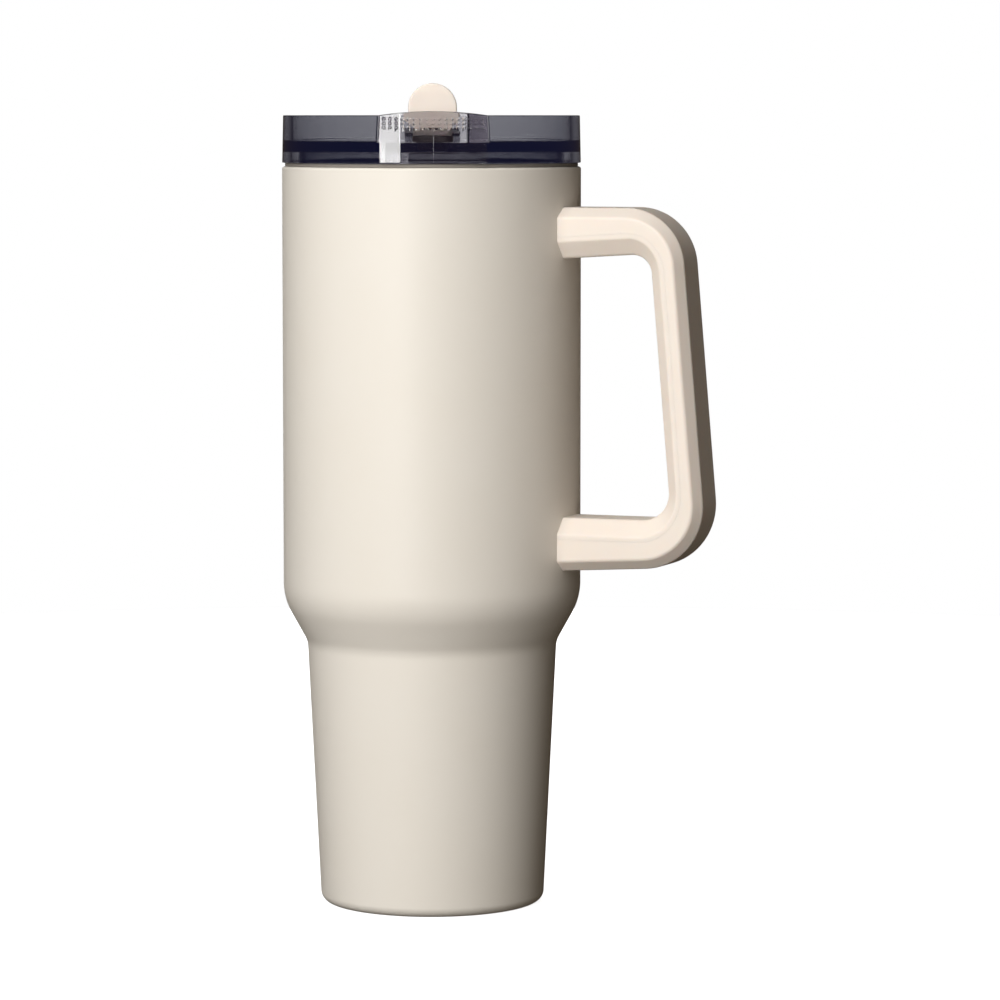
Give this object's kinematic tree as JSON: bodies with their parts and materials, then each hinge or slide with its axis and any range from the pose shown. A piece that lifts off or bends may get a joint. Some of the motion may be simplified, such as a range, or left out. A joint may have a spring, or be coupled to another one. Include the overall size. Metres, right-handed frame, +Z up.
{
  "type": "insulated tumbler",
  "caption": "Double-walled vacuum tumbler with a tapered foot, a bevelled side handle and a see-through press-in lid with a flip tab over its drink opening.",
  "frame": {"origin": "centre of the ring that the tumbler stands on, on the plane of the floor", "axes": "+Z up along the tumbler's axis, +X towards the handle, -Y towards the front, where the spout faces when the lid is turned 22.5 degrees back"},
  "size_m": [0.1484, 0.1008, 0.2755],
  "materials": {
    "powder_coat": "satin",
    "bare_steel": "brushed",
    "fastener_steel": "polished",
    "cream_plastic": "satin",
    "lid_plastic": "clear gloss",
    "spout_plastic": "clear gloss",
    "silicone": "matt",
    "solder_glass": "glossy",
    "getter_alloy": "sintered"
  },
  "bodies": {
    "vessel": {"outer_shell": "powder_coat", "inner_liner": "bare_steel", "liner_bottom": "bare_steel", "vacuum_base": "bare_steel", "seal_bead": "solder_glass", "getter": "getter_alloy", "base_cover": "bare_steel", "upper_handle_bracket": "bare_steel", "lower_handle_bracket": "bare_steel", "handle_shell": "cream_plastic", "handle_inner_cover": "cream_plastic", "handle_screws": "fastener_steel"},
    "lid": {"lid_body": "lid_plastic", "lid_seal": "silicone", "spout_insert": "spout_plastic", "hinge_pin": "fastener_steel"},
    "tab": {"flip_tab": "cream_plastic", "tab_stopper": "silicone"}
  },
  "joints": [
    {"name": "lid_lift", "type": "slide", "parent": "vessel", "child": "lid", "axis": [0, 0, 1], "range_m": [0, 0.04]},
    {"name": "tab_flip", "type": "hinge", "parent": "lid", "child": "tab", "pos_m": [0.01148, -0.02772, 0.2589], "axis": [-0.9239, -0.3827, 0], "range_deg": [0, 90]}
  ]
}
